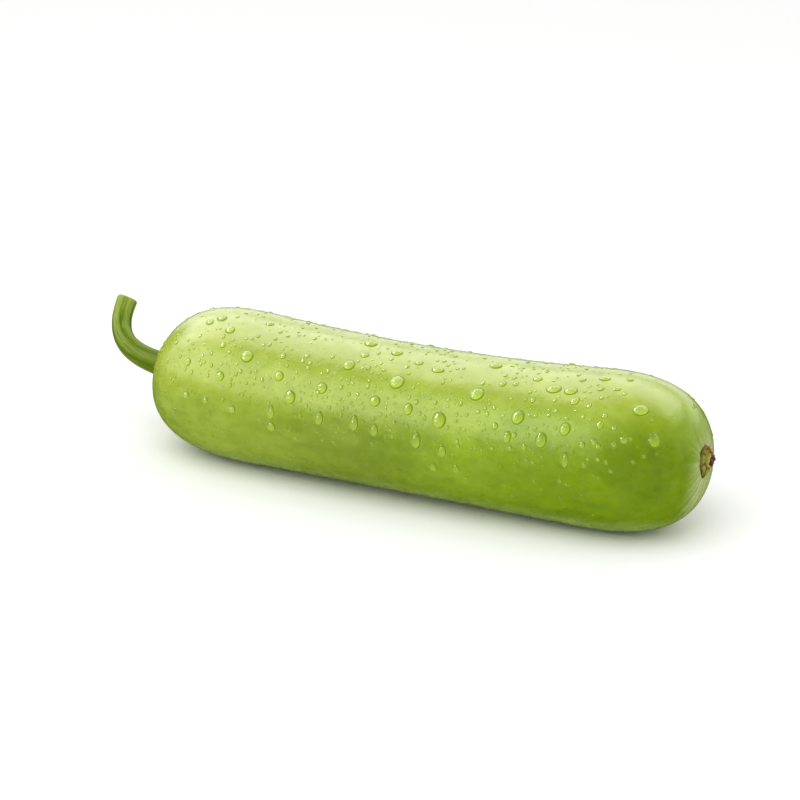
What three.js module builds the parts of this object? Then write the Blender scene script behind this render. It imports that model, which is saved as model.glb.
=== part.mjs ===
// Bottle gourd lying on its side, as picked: the fruit, its cut stem, its blossom scar and the dried style.
// Millimetres, +Z up. +X runs along the fruit from its stem end to its blossom end.
// The origin is at the middle of the gourd's footprint, on the surface that it rests on.
import * as THREE from "three";

// Fruit
const FRUIT_LENGTH = 300;
const STEM_END_RADIUS = 41.6; // where the curve of the side would meet the stem end
const WAIST_RADIUS = 36.9; // at mid length
const BLOSSOM_END_RADIUS = 41.9; // where the curve of the side would meet the blossom end
const STEM_END_ROUND = 65.5; // length over which the stem end rounds off
const BLOSSOM_END_ROUND = 59.5; // length over which the blossom end rounds off
const END_SQUARENESS = 2.6; // 2 is an elliptical end, more is blunter
const BOW = -10.5; // sideways bend of the axis at mid length
const LEAN_SHARE = 0.35; // share of the length over which an end leans
const STEM_END_LEAN = 0.12; // how far the stem end leans along X for each millimetre of height
const BLOSSOM_END_LEAN = -0.067; // the same for the blossom end
const REST_FLAT_DEPTH = 1.0; // the belly is pressed flat by this much where the gourd lies
const FRUIT_STATIONS = 44;
const FRUIT_SIDES = 48;

// Stem, a cubic Bezier from the stem end of the fruit, each point measured from its root
const STEM_LEAVES = new THREE.Vector3(-25, 0, 3);
const STEM_BENDS = new THREE.Vector3(-34.5, 3.5, 11);
const STEM_TIP = new THREE.Vector3(-31.5, 13.5, 27.5);
const STEM_BASE_RADIUS = 6.4;
const STEM_NECK_RADIUS = 5.1; // at the thinnest place
const STEM_NECK_AT = 0.75; // share of the stem's length at the thinnest place
const STEM_TAPER_EASE = 1.5; // 1 is a straight taper from root to neck, more is thinner sooner
const STEM_TIP_RADIUS = 5.3; // at the cut
const STEM_RIBS = 5;
const STEM_RIB_DEPTH = 0.07; // share of the radius
const STEM_SIDES = 30;
const STEM_STEPS = 24;

// Blossom scar, a raised five-sided pad with a crater off its middle, and the dried style in the crater
const SCAR_RADIUS = 8.2; // at the corners of the pad
const SCAR_HEIGHT = 2.2; // at the lip of the crater
const SCAR_EDGE_HEIGHT = 0.5; // at the rim of the pad
const SCAR_SWELL = 0.2; // how far the slope between rim and lip bulges out
const SCAR_CORNERS = 5;
const SCAR_CORNER_SHARPNESS = 0.75; // 0 is a round pad, 1 is a true pentagon
const SCAR_TURN = THREE.MathUtils.degToRad(11); // of a corner, up from the side that the fruit bows to
const CRATER_ASIDE = -2.0; // from the middle of the pad, towards the side that the fruit bows to
const CRATER_UP = 0.4; // from the middle of the pad
const CRATER_RADIUS = 3.2; // at the lip
const CRATER_FLOOR_RADIUS = 2.75;
const CRATER_DEPTH = 0.9;
const STYLE_RADIUS = 2.4;
const STYLE_LENGTH = 2.2;
const STYLE_TIP_RADIUS = 1.7;
const SCAR_SIDES = 40;
const STYLE_SIDES = 20;
const STYLE_TIP_STEPS = 5;

// Pieces that grow on the fruit stand off it by this much, so that no two solids share any volume
const JOIN_GAP = 0.3;

// Finishes
const SKIN = { color: 0x9fbf4a, roughness: 0.4, metalness: 0 };
const STALK = { color: 0x76942f, roughness: 0.55, metalness: 0 };
const SCAR_TISSUE = { color: 0x868132, roughness: 0.75, metalness: 0 };
const DRY_TISSUE = { color: 0x5a3418, roughness: 0.85, metalness: 0 };

// A superellipse quarter: 0 at the tip of an end, 1 where the end meets the side.
function endRounding(share) {
  if (share >= 1) return 1;
  return Math.pow(1 - Math.pow(1 - share, END_SQUARENESS), 1 / END_SQUARENESS);
}

// Radius of the fruit at a distance from its stem end: a parabola through the waist, rounded at both ends.
function fruitRadius(along) {
  const share = along / FRUIT_LENGTH;
  const fromStem = STEM_END_RADIUS * (1 - share) * (1 - 2 * share);
  const fromWaist = WAIST_RADIUS * 4 * share * (1 - share);
  const fromBlossom = BLOSSOM_END_RADIUS * share * (2 * share - 1);
  const stemEnd = endRounding(along / STEM_END_ROUND);
  const blossomEnd = endRounding((FRUIT_LENGTH - along) / BLOSSOM_END_ROUND);
  return (fromStem + fromWaist + fromBlossom) * stemEnd * blossomEnd;
}

// Weight of an end's lean: 1 at the end, easing to 0 at LEAN_SHARE of the length away from it.
function leanWeight(shareFromEnd) {
  return Math.pow(Math.max(0, 1 - shareFromEnd / LEAN_SHARE), 2);
}

// Calls change(point) on each vertex of a geometry.
function reshape(geometry, change) {
  const place = geometry.getAttribute("position");
  const point = new THREE.Vector3();
  for (let i = 0; i < place.count; i += 1) {
    change(point.fromBufferAttribute(place, i));
    place.setXYZ(i, point.x, point.y, point.z);
  }
  geometry.computeVertexNormals();
  return geometry;
}

// Stations along the fruit, closer together towards its ends.
const stations = Array.from(
  { length: FRUIT_STATIONS + 1 },
  (_, i) => (FRUIT_LENGTH * (1 - Math.cos((Math.PI * i) / FRUIT_STATIONS))) / 2,
);
const axisHeight = Math.max(...stations.map(fruitRadius)) - REST_FLAT_DEPTH;

// The fruit: turned about its axis, laid along X, leaned at the ends, bowed sideways and flattened below.
function makeFruit() {
  const outline = stations.map((along) => new THREE.Vector2(fruitRadius(along), along));
  outline[0].x = 0;
  outline[FRUIT_STATIONS].x = 0;
  const turned = new THREE.LatheGeometry(outline, FRUIT_SIDES);
  turned.rotateZ(-Math.PI / 2);
  return reshape(turned, (point) => {
    const share = point.x / FRUIT_LENGTH;
    const lean = STEM_END_LEAN * leanWeight(share) + BLOSSOM_END_LEAN * leanWeight(1 - share);
    point.x += lean * point.z - FRUIT_LENGTH / 2;
    point.y += BOW * 4 * share * (1 - share);
    point.z = Math.max(0, point.z + axisHeight);
  });
}

// Radius of the stem at a share of its length: thick at the root, thin at the neck, wider again at the cut.
function stemRadius(share) {
  if (share < STEM_NECK_AT) {
    const ease = Math.pow(1 - share / STEM_NECK_AT, STEM_TAPER_EASE);
    return THREE.MathUtils.lerp(STEM_NECK_RADIUS, STEM_BASE_RADIUS, ease);
  }
  const flare = Math.pow((share - STEM_NECK_AT) / (1 - STEM_NECK_AT), 2);
  return THREE.MathUtils.lerp(STEM_NECK_RADIUS, STEM_TIP_RADIUS, flare);
}

// The stem: a ribbed cylinder whose rings are carried along the curve.
function makeStem() {
  const root = new THREE.Vector3(-FRUIT_LENGTH / 2, 0, axisHeight);
  const leaving = STEM_LEAVES.clone().normalize();
  root.addScaledVector(leaving, JOIN_GAP);
  const curve = new THREE.CubicBezierCurve3(
    root,
    root.clone().add(STEM_LEAVES),
    root.clone().add(STEM_BENDS),
    root.clone().add(STEM_TIP),
  );
  const frames = curve.computeFrenetFrames(STEM_STEPS);
  const straight = new THREE.CylinderGeometry(1, 1, STEM_STEPS, STEM_SIDES, STEM_STEPS);
  return reshape(straight, (point) => {
    const step = Math.round(point.y + STEM_STEPS / 2);
    const share = step / STEM_STEPS;
    const rib = 1 + STEM_RIB_DEPTH * Math.cos(STEM_RIBS * Math.atan2(point.z, point.x));
    const radius = stemRadius(share) * rib;
    const across = frames.normals[step].clone().multiplyScalar(point.z * radius);
    const aside = frames.binormals[step].clone().multiplyScalar(point.x * radius);
    point.copy(curve.getPointAt(share)).add(across).add(aside);
  });
}

// How far a five-sided outline reaches at an angle, as a share of its corner radius.
function scarOutline(angle) {
  const sector = (2 * Math.PI) / SCAR_CORNERS;
  const turn = angle - sector * Math.round(angle / sector);
  const pentagon = Math.cos(sector / 2) / Math.cos(sector / 2 - Math.abs(turn));
  return THREE.MathUtils.lerp(Math.cos(sector / 2), pentagon, SCAR_CORNER_SHARPNESS);
}

// The scar: a pad turned about the fruit's axis, five-sided at its rim and round at its shifted crater.
function makeScar() {
  const outline = [
    [0, 0],
    [SCAR_RADIUS, 0],
    [SCAR_RADIUS, SCAR_EDGE_HEIGHT],
    [(SCAR_RADIUS + CRATER_RADIUS) / 2, (SCAR_EDGE_HEIGHT + SCAR_HEIGHT) / 2 + SCAR_SWELL],
    [CRATER_RADIUS, SCAR_HEIGHT],
    [CRATER_FLOOR_RADIUS, SCAR_HEIGHT - CRATER_DEPTH],
    [0, SCAR_HEIGHT - CRATER_DEPTH],
  ].map(([across, up]) => new THREE.Vector2(across, up));
  const turned = new THREE.LatheGeometry(outline, SCAR_SIDES);
  return reshape(turned, (point) => {
    const across = Math.hypot(point.x, point.z);
    const rim = THREE.MathUtils.smoothstep(across, CRATER_RADIUS, SCAR_RADIUS);
    const corner = scarOutline(Math.atan2(point.z, point.x) - SCAR_TURN);
    const reach = THREE.MathUtils.lerp(1, corner, rim);
    point.x = point.x * reach + CRATER_ASIDE * (1 - rim);
    point.z = point.z * reach + CRATER_UP * (1 - rim);
  });
}

// The dried style: a short tapered stub with a rounded tip, standing on the floor of the crater.
function makeStyle() {
  const foot = SCAR_HEIGHT - CRATER_DEPTH + JOIN_GAP;
  const tip = foot + STYLE_LENGTH;
  const outline = new THREE.Path();
  outline.moveTo(0, foot);
  outline.lineTo(STYLE_RADIUS, foot);
  outline.lineTo(STYLE_TIP_RADIUS, tip - STYLE_TIP_RADIUS / 2);
  outline.quadraticCurveTo(STYLE_TIP_RADIUS, tip, 0, tip);
  const turned = new THREE.LatheGeometry(outline.getPoints(STYLE_TIP_STEPS), STYLE_SIDES);
  return turned.translate(CRATER_ASIDE, 0, CRATER_UP);
}

function makePiece(name, geometry, finish) {
  const piece = new THREE.Mesh(geometry, new THREE.MeshStandardMaterial(finish));
  piece.name = name;
  return piece;
}

// The scar and the style share a group whose +Y is the way that the leaning blossom end faces.
const blossomEnd = new THREE.Group();
const blossomFacing = new THREE.Vector3(1, 0, -BLOSSOM_END_LEAN).normalize();
blossomEnd.position.set(FRUIT_LENGTH / 2, 0, axisHeight).addScaledVector(blossomFacing, JOIN_GAP);
blossomEnd.quaternion.setFromUnitVectors(new THREE.Vector3(0, 1, 0), blossomFacing);
blossomEnd.add(
  makePiece("blossom_scar", makeScar(), SCAR_TISSUE),
  makePiece("dried_style", makeStyle(), DRY_TISSUE),
);

const lyingGourd = new THREE.Group();
lyingGourd.add(
  makePiece("fruit", makeFruit(), SKIN),
  makePiece("stem", makeStem(), STALK),
  blossomEnd,
);

// Bring the middle of the footprint to the origin.
const footprint = new THREE.Box3().setFromObject(lyingGourd, true).getCenter(new THREE.Vector3());
lyingGourd.position.set(-footprint.x, -footprint.y, 0);

const bottleGourd = new THREE.Group();
bottleGourd.add(lyingGourd);

export default bottleGourd;
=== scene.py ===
import math

import bpy
import numpy as np
from mathutils import Matrix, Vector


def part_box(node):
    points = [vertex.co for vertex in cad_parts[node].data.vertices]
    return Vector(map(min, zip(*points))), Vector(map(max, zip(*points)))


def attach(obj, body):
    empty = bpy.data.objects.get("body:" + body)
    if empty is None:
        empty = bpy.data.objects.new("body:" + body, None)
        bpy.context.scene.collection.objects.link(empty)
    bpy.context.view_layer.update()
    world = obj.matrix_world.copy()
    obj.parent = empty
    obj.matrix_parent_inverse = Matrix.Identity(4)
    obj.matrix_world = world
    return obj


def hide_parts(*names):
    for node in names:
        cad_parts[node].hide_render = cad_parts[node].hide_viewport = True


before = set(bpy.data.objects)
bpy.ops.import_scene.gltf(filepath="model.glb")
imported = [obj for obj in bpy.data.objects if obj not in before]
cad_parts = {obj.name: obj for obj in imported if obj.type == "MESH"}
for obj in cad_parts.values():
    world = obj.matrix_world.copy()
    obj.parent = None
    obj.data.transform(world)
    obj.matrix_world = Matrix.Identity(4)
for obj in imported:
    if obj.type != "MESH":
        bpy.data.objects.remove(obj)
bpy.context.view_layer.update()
mm = 0.001
print("frame loaded:", ", ".join(sorted(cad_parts)))


def addObject(name, data):
    made = bpy.data.objects.new(name, data)
    bpy.context.scene.collection.objects.link(made)
    return made


# stands a camera or a lamp at centre, looking along -back
def stand(thing, right, back, centre):
    turned = np.eye(4)
    turned[:3, :3] = np.stack([right, np.cross(back, right), back], -1)
    turned[:3, 3] = centre
    thing.matrix_world = Matrix(turned.tolist())


# each vector divided by its length
def unit(vectors):
    return vectors / np.linalg.norm(vectors, axis=-1, keepdims=True)


# evenly spaced turns, once round
def turnsRound(count):
    return np.arange(count) / count * 2 * math.pi


# A closed form is a stack of rings: its first and last rings are single points, and each ring closes on
# itself. Its faces are quads between the rings and triangles round both tips.
def ringFaces(count, rings, ringPoints):
    perForm = 2 + (rings - 2) * ringPoints
    ring = 1 + np.arange((rings - 2) * ringPoints).reshape(rings - 2, ringPoints)
    ahead = np.roll(ring, -1, axis=1)
    quads = np.stack([ring[:-1], ahead[:-1], ahead[1:], ring[1:]], -1).reshape(-1, 4)
    firstTip = np.stack([np.zeros(ringPoints, int), ahead[0], ring[0]], -1)
    lastTip = np.stack([np.full(ringPoints, perForm - 1), ring[-1], ahead[-1]], -1)
    tips = np.concatenate([firstTip, lastTip])
    starts = np.arange(count)[:, None, None] * perForm
    return (quads + starts).reshape(-1, 4), (tips + starts).reshape(-1, 3)


# The bake map: ring points spread left to right and rings bottom to top, at the heights given.
def ringMap(rings, ringPoints, heights):
    left = np.tile(np.arange(ringPoints) / ringPoints, (rings - 3, 1))
    right = left + 1 / ringPoints
    low = np.tile(heights[1:-2, None], (1, ringPoints))
    high = np.tile(heights[2:-1, None], (1, ringPoints))
    corners = [(left, low), (right, low), (right, high), (left, high)]
    quads = np.stack([np.stack(corner, -1) for corner in corners], -2).reshape(-1, 2)
    middle = (left[0] + right[0]) / 2
    first = [(middle, heights[0]), (right[0], heights[1]), (left[0], heights[1])]
    last = [(middle, heights[-1]), (left[0], heights[-2]), (right[0], heights[-2])]
    tips = [
        np.stack([np.stack(np.broadcast_arrays(*corner), -1) for corner in tip], -2)
        for tip in (first, last)
    ]
    return np.concatenate([quads, np.concatenate(tips).reshape(-1, 2)])


# forms has the shape (how many, rings, ringPoints, 3), so one call makes one skin or a thousand drops.
# Ring steps that second names take the second material.
def addForms(name, forms, materials, heights=None, attributes=None, second=None):
    count, rings, ringPoints = forms.shape[:3]
    middles = forms[:, 1:-1].reshape(count, -1, 3)
    points = np.concatenate([forms[:, :1, 0], middles, forms[:, -1:, 0]], axis=1).reshape(-1, 3)
    quads, tips = ringFaces(count, rings, ringPoints)
    mesh = bpy.data.meshes.new(name)
    mesh.from_pydata(points.tolist(), [], quads.tolist() + tips.tolist())
    mesh.polygons.foreach_set("use_smooth", np.ones(len(mesh.polygons), bool))
    if heights is not None:
        layer = mesh.uv_layers.new(name="OFBake")
        layer.uv.foreach_set("vector", ringMap(rings, ringPoints, heights).astype(np.float32).ravel())
    for key, values in (attributes or {}).items():
        flat = np.concatenate([values[:1, 0], values[1:-1].reshape(-1, values.shape[-1]), values[-1:, 0]])
        layer = mesh.attributes.new(key, "FLOAT_VECTOR", "POINT")
        layer.data.foreach_set("vector", flat.astype(np.float32).ravel())
    for material in materials:
        mesh.materials.append(material)
    if second is not None:
        chosen = np.zeros(len(mesh.polygons), np.int32)
        chosen[: len(quads)].reshape(count, rings - 3, ringPoints)[:, second] = 1
        mesh.polygons.foreach_set("material_index", chosen)
    mesh.update()
    print(name, "has", len(mesh.polygons), "faces")
    return addObject(name, mesh)


# Node helpers: inputs are constants or sockets, by name or place.
def addNode(tree, kind, inputs=None, **settings):
    made = tree.nodes.new(kind)
    for key, value in settings.items():
        setattr(made, key, value)
    for key, value in (inputs or {}).items():
        if isinstance(value, bpy.types.NodeSocket):
            tree.links.new(value, made.inputs[key])
        else:
            made.inputs[key].default_value = value
    return made


def startMaterial(name):
    material = bpy.data.materials.new(name)
    material.use_nodes = True
    tree = material.node_tree
    return material, tree, tree.nodes["Principled BSDF"]


# what is the same all over a surface goes straight on the shader's own sockets
def setSockets(shader, values):
    for key, value in values.items():
        shader.inputs[key].default_value = value


def objectPlace(tree):
    return addNode(tree, "ShaderNodeTexCoord").outputs["Object"]


def carried(tree, name):
    return addNode(tree, "ShaderNodeAttribute", attribute_name=name).outputs["Vector"]


def parts(tree, vector):
    return addNode(tree, "ShaderNodeSeparateXYZ", {0: vector}).outputs


def lengthOf(tree, vector):
    return addNode(tree, "ShaderNodeVectorMath", {0: vector}, operation="LENGTH").outputs["Value"]


def noise(tree, vector, scale, detail=3.0, roughness=0.5):
    inputs = {"Vector": vector, "Scale": scale, "Detail": detail, "Roughness": roughness}
    return addNode(tree, "ShaderNodeTexNoise", inputs).outputs[0]


def remap(tree, value, fromLow, fromHigh, toLow=0.0, toHigh=1.0):
    inputs = {0: value, 1: fromLow, 2: fromHigh, 3: toLow, 4: toHigh}
    return addNode(tree, "ShaderNodeMapRange", inputs, interpolation_type="SMOOTHSTEP").outputs[0]


def sums(tree, operation, first, second):
    return addNode(tree, "ShaderNodeMath", {0: first, 1: second}, operation=operation).outputs[0]


def plus(tree, first, second):
    return sums(tree, "ADD", first, second)


def times(tree, first, second):
    return sums(tree, "MULTIPLY", first, second)


# a value from 0 to 1 made to swing half of size to either side of 0
def swing(tree, value, size):
    return times(tree, sums(tree, "SUBTRACT", value, 0.5), size)


def mixColour(tree, share, first, second, blend="MIX"):
    inputs = {0: share, 6: first, 7: second}
    return addNode(tree, "ShaderNodeMix", inputs, data_type="RGBA", blend_type=blend).outputs[2]


def stretched(tree, vector, scale, place=(0, 0, 0)):
    inputs = {"Vector": vector, "Location": place, "Scale": scale}
    return addNode(tree, "ShaderNodeMapping", inputs).outputs[0]


def bumped(tree, height, distance, strength, under=None):
    inputs = {"Height": height, "Distance": distance, "Strength": strength}
    if under is not None:
        inputs["Normal"] = under
    return addNode(tree, "ShaderNodeBump", inputs).outputs[0]


# The fruit's own shape, in metres. share runs 0 to 1 from stem end to blossom end,
# turn runs round the fruit from the top towards -Y.
fruit = {
    "length": 300 * mm,
    "stemEndRadius": 41.6 * mm,
    "waistRadius": 36.9 * mm,
    "blossomEndRadius": 41.9 * mm,
    "stemEndRound": 65.5 * mm,
    "blossomEndRound": 59.5 * mm,
    "endSquareness": 2.6,
    "bow": -10.5 * mm,
    "leanShare": 0.35,
    "stemEndLean": 0.12,
    "blossomEndLean": -0.067,
    "lumps": 0.005,  # share of the radius
    "creases": 9,  # pairs of creases round the blossom scar
    "creaseDepth": 0.32 * mm,
    "creaseFrom": 8.5 * mm,  # out from the blossom end's middle
    "creaseTo": 22 * mm,
    "pressSoftness": 0.4 * mm,  # how gently the belly meets the floor
    "rings": 322,
    "ringPoints": 240,
}


# 0 at the tip of an end, 1 where it meets the side: a superellipse quarter
def endRounding(share):
    square = fruit["endSquareness"]
    return (1 - (1 - np.clip(share, 0, 1)) ** square) ** (1 / square)


# a parabola through the waist, rounded off at both ends
def fruitRadius(share):
    along = share * fruit["length"]
    side = fruit["stemEndRadius"] * (1 - share) * (1 - 2 * share)
    side = side + fruit["waistRadius"] * 4 * share * (1 - share)
    side = side + fruit["blossomEndRadius"] * share * (2 * share - 1)
    stemEnd = endRounding(along / fruit["stemEndRound"])
    blossomEnd = endRounding((fruit["length"] - along) / fruit["blossomEndRound"])
    return side * stemEnd * blossomEnd


# smooth steps from 0 at low to 1 at high
def eased(value, low, high):
    t = np.clip((value - low) / (high - low), 0, 1)
    return t * t * (3 - 2 * t)


# a few slow waves round and along the fruit, so that its side isn't a turned one
def lumps(share, turn):
    waves = np.sin(2 * turn + 9 * share + 0.4) + 0.7 * np.sin(3 * turn - 14 * share + 2.1)
    return fruit["lumps"] * (waves + 0.5 * np.sin(5 * turn + 21 * share + 4.0)) / 2


# sharp folds that fan out from the blossom scar and fade by creaseTo
def creases(radius, share, turn):
    fold = np.abs(np.sin(fruit["creases"] * turn + 0.8 * np.sin(4 * turn + 1.3)))
    uneven = 0.6 + 0.4 * np.sin(3 * turn + 0.5)
    reach = eased(radius, fruit["creaseFrom"] * 0.5, fruit["creaseFrom"])
    reach = reach * (1 - eased(radius, fruit["creaseFrom"], fruit["creaseTo"]))
    return -fruit["creaseDepth"] * (1 - fold) ** 2 * uneven * reach * (share > 0.5)


# turned about X, leaned at the ends, bowed sideways, lifted to the rest height and pressed on the floor
def skinAt(share, turn, detail=1.0):
    share, turn = np.broadcast_arrays(share, turn)
    plain = fruitRadius(share)
    radius = plain * (1 + detail * lumps(share, turn))
    y = -radius * np.sin(turn)
    z = radius * np.cos(turn)
    stemLean = np.clip(1 - share / fruit["leanShare"], 0, 1) ** 2
    blossomLean = np.clip(1 - (1 - share) / fruit["leanShare"], 0, 1) ** 2
    x = (share - 0.5) * fruit["length"] + detail * creases(plain, share, turn)
    x = x + z * (fruit["stemEndLean"] * stemLean + fruit["blossomEndLean"] * blossomLean)
    y = y + fruit["bow"] * 4 * share * (1 - share)
    z = z + restHeight
    z = (z + np.sqrt(z * z + (fruit["pressSoftness"] * detail) ** 2)) / 2
    return np.stack([x, y, z], -1) + middle


cadLow, cadHigh = (np.array(corner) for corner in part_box("fruit"))
ringShare = (1 - np.cos(np.linspace(0, math.pi, fruit["rings"]))) / 2
ringTurn = turnsRound(fruit["ringPoints"]) + math.pi
middle = np.zeros(3)
restHeight = cadHigh[2] - fruitRadius(ringShare).max()
plainSkin = skinAt(ringShare[:, None], ringTurn[None], detail=0.0).reshape(-1, 3)
middle = (cadLow + cadHigh) / 2 - (plainSkin.min(0) + plainSkin.max(0)) / 2
middle[2] = 0
stemPole = skinAt(0.0, 0.0, detail=0.0)
blossomPole = skinAt(1.0, 0.0, detail=0.0)
axisMiddle = (stemPole + blossomPole) / 2
print("fruit placed, its axis", round(axisMiddle[2] / mm, 1), "mm above the floor")


# The photograph's camera, found by fitting the fruit's outline.
shot = {
    "pixels": 800,  # the picture is square
    "lens": 135.0,
    "sensor": 36.0,
    "azimuth": 27.02,
    "elevation": 20.39,
    "distance": 1.5,
    "aim": (-13.87 * mm, 0.0, 4.07 * mm),  # from the middle of the fruit's axis
}
azimuth, elevation = math.radians(shot["azimuth"]), math.radians(shot["elevation"])
level = math.cos(elevation)
backWay = np.array([math.sin(azimuth) * level, -math.cos(azimuth) * level, math.sin(elevation)])
rightWay = np.array([math.cos(azimuth), math.sin(azimuth), 0.0])
upWay = np.cross(backWay, rightWay)
aim = axisMiddle + np.array(shot["aim"])
eye = aim + backWay * shot["distance"]


def addCamera():
    data = bpy.data.cameras.new("photo_camera")
    data.lens = shot["lens"]
    data.sensor_width = shot["sensor"]
    camera = addObject("photo_camera", data)
    stand(camera, rightWay, backWay, eye)
    bpy.context.scene.camera = camera


# where points fall in the picture: a pinhole that looks along -backWay
def pixelOf(points):
    fromAim = points - aim
    scale = shot["pixels"] * shot["lens"] / shot["sensor"] / (shot["distance"] - fromAim @ backWay)
    half = shot["pixels"] / 2
    return np.stack([half + scale * (fromAim @ rightWay), half - scale * (fromAim @ upWay)], -1)


addCamera()
print("camera placed")


# Skin. Colours marked times multiply the colour under them.
skinLook = {
    "bleachedAndLitUpperStemEnd": (0.325, 0.418, 0.030, 1),  # the upper side, paler: partly sun-bleached skin, partly painted light from above
    "bleachedAndLitUpperBlossomEnd": (0.278, 0.398, 0.016, 1),
    "shadedLower": {  # the lower side, darker by painted shade, by share along the fruit
        0.12: (0.282, 0.388, 0.032, 1),
        0.48: (0.207, 0.297, 0.020, 1),
        0.72: (0.240, 0.360, 0.012, 1),
        0.95: (0.176, 0.286, 0.001, 1),
    },
    "upperFrom": 0.05,  # shares of the waist's radius above the axis
    "upperTo": 0.62,
    "upperTilt": 14 * mm,  # how much higher the upper colour ends at the blossom end than at the stem end
    "wanderScale": 14.0,  # the colours' borders wander
    "wanderAlong": 0.12,
    "wanderUp": 30 * mm,
    "top": (0.330, 0.412, 0.038, 1),  # painted sheen: paler and yellower along the ridge, where the highlight falls
    "ridgeSheenFrom": 0.66,
    "ridgeSheenTo": 0.95,
    "stemEnd": (1.12, 1.09, 1.35, 1),  # times, right at the stem
    "stemEndShare": 0.16,
    "deep": (0.76, 0.77, 0.15, 1),  # times, a deeper green patch beside the blossom end
    "deepAt": (0.940, 1.16),  # share along and turn round the fruit
    "deepFrom": 4 * mm,
    "deepTo": 30 * mm,
    "belly": (0.40, 0.52, 0.15, 1),  # painted light: paler near the floor, as if lit by light the floor throws back
    "bellyFrom": 3 * mm,  # above the floor
    "bellyTo": 16 * mm,
    "paleMottle": (1.20, 1.15, 1.6, 1),  # times
    "paleMottles": (0.6, 95.0, 0.7),  # stretch along the fruit, scale and share
    "deepMottle": (0.70, 0.76, 0.42, 1),  # times
    "deepMottles": ((0.35, 60.0, 0.45), (0.6, 230.0, 0.50)),
    "upperCalm": 0.45,  # share of the deep mottles that is left on the upper side
    "fleck": (1.5, 1.4, 3.0, 1),  # times
    "fleckScale": 420.0,
    "fleckShare": 0.35,
    "fleckPatches": 40.0,
    # partly the skin's own pale zone round the scar, partly a painted grazing reflection
    "scarSkinAndSheen": (0.49, 0.55, 0.225, 1),
    "scarSkinFrom": 11 * mm,  # from a point beside and below the blossom end's middle
    "scarSkinTo": 26 * mm,
    "scarSkinAside": 5 * mm,
    "scarSkinDown": 11 * mm,
    "scarSkinTall": 1.35,
    "streakScale": 7.0,
    "streakReach": 12 * mm,
    "streakLeast": 0.55,
    "wetAndShadowTint": (0.80, 0.88, 0.50, 1),  # times; darkens the skin under the drops, and paints a shadow just below them
    "wetShare": 0.55,
    "wetRoughness": 0.6,
    # painted light: the brighter patch that a drop's gathered light makes on the skin under it
    "lit": (0.52, 0.66, 0.07, 1),
    "litShare": 0.42,
    "roughness": (0.22, 0.32),
    "roughScale": 160.0,
    "relief": (  # swells, dimples and pores: scale, detail, roughness, height and strength
        (48.0, 2.0, 0.5, 1.4 * mm, 0.5),
        (190.0, 4.0, 0.6, 0.45 * mm, 0.3),
        (1500.0, 2.0, 0.5, 0.05 * mm, 0.3),
    ),
    "shader": {
        "IOR": 1.45,
        "Subsurface Weight": 0.10,
        "Subsurface Radius": (0.6, 1.0, 0.2),
        "Subsurface Scale": 4 * mm,
    },
}


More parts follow.
